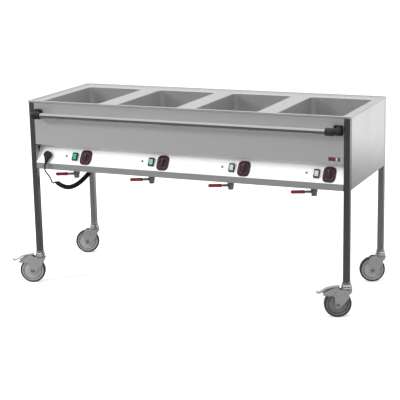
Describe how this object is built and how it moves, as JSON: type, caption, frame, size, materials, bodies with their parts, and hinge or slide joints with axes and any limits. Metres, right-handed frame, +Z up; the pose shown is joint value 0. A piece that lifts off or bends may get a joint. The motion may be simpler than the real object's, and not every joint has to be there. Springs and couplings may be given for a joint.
{
  "type": "steam table unit",
  "caption": "Mobile stainless-steel steam table with a row of heated wells, sloped control panel, push rail, drain valves, curly mains lead and swivel casters.",
  "frame": {"origin": "on the floor, under the middle of the outline of everything but the mains cord", "axes": "+X along the length towards the right-hand end as seen from the control side, +Y from the control side to the back, +Z up"},
  "size_m": [1.733, 0.6858, 0.91],
  "materials": {
    "brushed_stainless": "brushed, satin",
    "well_stainless": "deep-drawn satin",
    "polished_stainless": "mirror polished sheet",
    "polished_tube": "polished tube",
    "black_plastic": "moulded, fine grain",
    "bright_zinc": "bright plated",
    "amber_lens": "translucent lens",
    "thermostat_case": "plain",
    "maroon_plastic": "moulded, semi-gloss",
    "element_sheath": "heat-stained",
    "nickel_brass": "nickel plated, cast texture",
    "grey_box": "moulded",
    "cable_rubber": "satin rubber",
    "enamel_plate": "enamelled, blank",
    "knob_plastic": "moulded",
    "switch_lens": "translucent rocker under a clear cover",
    "zinc_lever": "zinc plated",
    "red_grip": "dipped vinyl sleeve",
    "zinc_fork": "zinc plated pressed steel",
    "wheel_plastic": "moulded nylon",
    "tyre_rubber": "smooth tread"
  },
  "bodies": {
    "cart": {"top_deck": "brushed_stainless", "well_1": "well_stainless", "well_2": "well_stainless", "well_3": "well_stainless", "well_4": "well_stainless", "legs_front": "brushed_stainless", "legs_rear": "brushed_stainless", "front_apron": "brushed_stainless", "control_panel": "polished_stainless", "side_panel_left": "brushed_stainless", "side_panel_right": "brushed_stainless", "rear_panel": "brushed_stainless", "base_tray": "brushed_stainless", "handle_rail": "polished_tube", "handle_brackets": "black_plastic", "handle_screws": "bright_zinc", "pilot_lamps": "amber_lens", "switch_frames": "black_plastic", "thermostats": "thermostat_case", "dial_bezels": "maroon_plastic", "heating_elements": "element_sheath", "valve_bodies": "nickel_brass", "caster_fittings": "bright_zinc", "terminal_box": "grey_box", "plug_holder": "black_plastic", "cable_gland": "black_plastic", "cord_coil": "cable_rubber", "cord_lead": "cable_rubber", "plug": "cable_rubber", "name_plate": "enamel_plate"},
    "dial_1": {"knob_1": "knob_plastic"},
    "switch_1": {"rocker_1": "switch_lens"},
    "valve_1": {"valve_lever_1": "zinc_lever", "lever_grip_1": "red_grip"},
    "dial_2": {"knob_2": "knob_plastic"},
    "switch_2": {"rocker_2": "switch_lens"},
    "valve_2": {"valve_lever_2": "zinc_lever", "lever_grip_2": "red_grip"},
    "dial_3": {"knob_3": "knob_plastic"},
    "switch_3": {"rocker_3": "switch_lens"},
    "valve_3": {"valve_lever_3": "zinc_lever", "lever_grip_3": "red_grip"},
    "dial_4": {"knob_4": "knob_plastic"},
    "switch_4": {"rocker_4": "switch_lens"},
    "valve_4": {"valve_lever_4": "zinc_lever", "lever_grip_4": "red_grip"},
    "swivel_front_left": {"fork_front_left": "zinc_fork"},
    "roller_front_left": {"wheel_front_left": "wheel_plastic", "tyre_front_left": "tyre_rubber"},
    "swivel_front_right": {"fork_front_right": "zinc_fork"},
    "roller_front_right": {"wheel_front_right": "wheel_plastic", "tyre_front_right": "tyre_rubber"},
    "swivel_rear_left": {"fork_rear_left": "zinc_fork"},
    "roller_rear_left": {"wheel_rear_left": "wheel_plastic", "tyre_rear_left": "tyre_rubber"},
    "swivel_rear_right": {"fork_rear_right": "zinc_fork"},
    "roller_rear_right": {"wheel_rear_right": "wheel_plastic", "tyre_rear_right": "tyre_rubber"},
    "pedal_left": {"brake_pedal_left": "zinc_fork"},
    "pedal_right": {"brake_pedal_right": "zinc_fork"}
  },
  "joints": [
    {"name": "dial_1_turn", "type": "hinge", "parent": "cart", "child": "dial_1", "pos_m": [-0.4604, -0.25243, 0.64623], "axis": [0, 0.8572, -0.515], "range_deg": [0, 300]},
    {"name": "switch_1_rock", "type": "hinge", "parent": "cart", "child": "switch_1", "pos_m": [-0.5184, -0.25243, 0.64623], "axis": [-1, 0, 0], "range_deg": [0, 18]},
    {"name": "valve_1_turn", "type": "hinge", "parent": "cart", "child": "valve_1", "pos_m": [-0.5534, -0.1784, 0.55], "axis": [0, -1, 0], "range_deg": [0, 90]},
    {"name": "dial_2_turn", "type": "hinge", "parent": "cart", "child": "dial_2", "pos_m": [-0.0564, -0.25243, 0.64623], "axis": [0, 0.8572, -0.515], "range_deg": [0, 300]},
    {"name": "switch_2_rock", "type": "hinge", "parent": "cart", "child": "switch_2", "pos_m": [-0.1144, -0.25243, 0.64623], "axis": [-1, 0, 0], "range_deg": [0, 18]},
    {"name": "valve_2_turn", "type": "hinge", "parent": "cart", "child": "valve_2", "pos_m": [-0.1494, -0.1784, 0.55], "axis": [0, -1, 0], "range_deg": [0, 90]},
    {"name": "dial_3_turn", "type": "hinge", "parent": "cart", "child": "dial_3", "pos_m": [0.3476, -0.25243, 0.64623], "axis": [0, 0.8572, -0.515], "range_deg": [0, 300]},
    {"name": "switch_3_rock", "type": "hinge", "parent": "cart", "child": "switch_3", "pos_m": [0.2896, -0.25243, 0.64623], "axis": [-1, 0, 0], "range_deg": [0, 18]},
    {"name": "valve_3_turn", "type": "hinge", "parent": "cart", "child": "valve_3", "pos_m": [0.2546, -0.1784, 0.55], "axis": [0, -1, 0], "range_deg": [0, 90]},
    {"name": "dial_4_turn", "type": "hinge", "parent": "cart", "child": "dial_4", "pos_m": [0.7516, -0.25243, 0.64623], "axis": [0, 0.8572, -0.515], "range_deg": [0, 300]},
    {"name": "switch_4_rock", "type": "hinge", "parent": "cart", "child": "switch_4", "pos_m": [0.6936, -0.25243, 0.64623], "axis": [-1, 0, 0], "range_deg": [0, 18]},
    {"name": "valve_4_turn", "type": "hinge", "parent": "cart", "child": "valve_4", "pos_m": [0.6586, -0.1784, 0.55], "axis": [0, -1, 0], "range_deg": [0, 90]},
    {"name": "front_left_swivel", "type": "hinge", "parent": "cart", "child": "swivel_front_left", "pos_m": [-0.7364, -0.2544, 0.14], "axis": [0, 0, 1], "continuous": true},
    {"name": "front_left_roll", "type": "hinge", "parent": "swivel_front_left", "child": "roller_front_left", "pos_m": [-0.77222, -0.26983, 0.062], "axis": [-0.3955, 0.9184, 0], "continuous": true},
    {"name": "front_right_swivel", "type": "hinge", "parent": "cart", "child": "swivel_front_right", "pos_m": [0.8356, -0.2544, 0.14], "axis": [0, 0, 1], "continuous": true},
    {"name": "front_right_roll", "type": "hinge", "parent": "swivel_front_right", "child": "roller_front_right", "pos_m": [0.79978, -0.26983, 0.062], "axis": [-0.3955, 0.9184, 0], "continuous": true},
    {"name": "rear_left_swivel", "type": "hinge", "parent": "cart", "child": "swivel_rear_left", "pos_m": [-0.7364, 0.3156, 0.14], "axis": [0, 0, 1], "continuous": true},
    {"name": "rear_left_roll", "type": "hinge", "parent": "swivel_rear_left", "child": "roller_rear_left", "pos_m": [-0.77222, 0.30017, 0.062], "axis": [-0.3955, 0.9184, 0], "continuous": true},
    {"name": "rear_right_swivel", "type": "hinge", "parent": "cart", "child": "swivel_rear_right", "pos_m": [0.8356, 0.3156, 0.14], "axis": [0, 0, 1], "continuous": true},
    {"name": "rear_right_roll", "type": "hinge", "parent": "swivel_rear_right", "child": "roller_rear_right", "pos_m": [0.79978, 0.30017, 0.062], "axis": [-0.3955, 0.9184, 0], "continuous": true},
    {"name": "brake_left_press", "type": "hinge", "parent": "swivel_front_left", "child": "pedal_left", "pos_m": [-0.78048, -0.27339, 0.131], "axis": [0.3955, -0.9184, 0], "range_deg": [0, 12]},
    {"name": "brake_right_press", "type": "hinge", "parent": "swivel_front_right", "child": "pedal_right", "pos_m": [0.79151, -0.27339, 0.131], "axis": [0.3955, -0.9184, 0], "range_deg": [0, 12]}
  ]
}
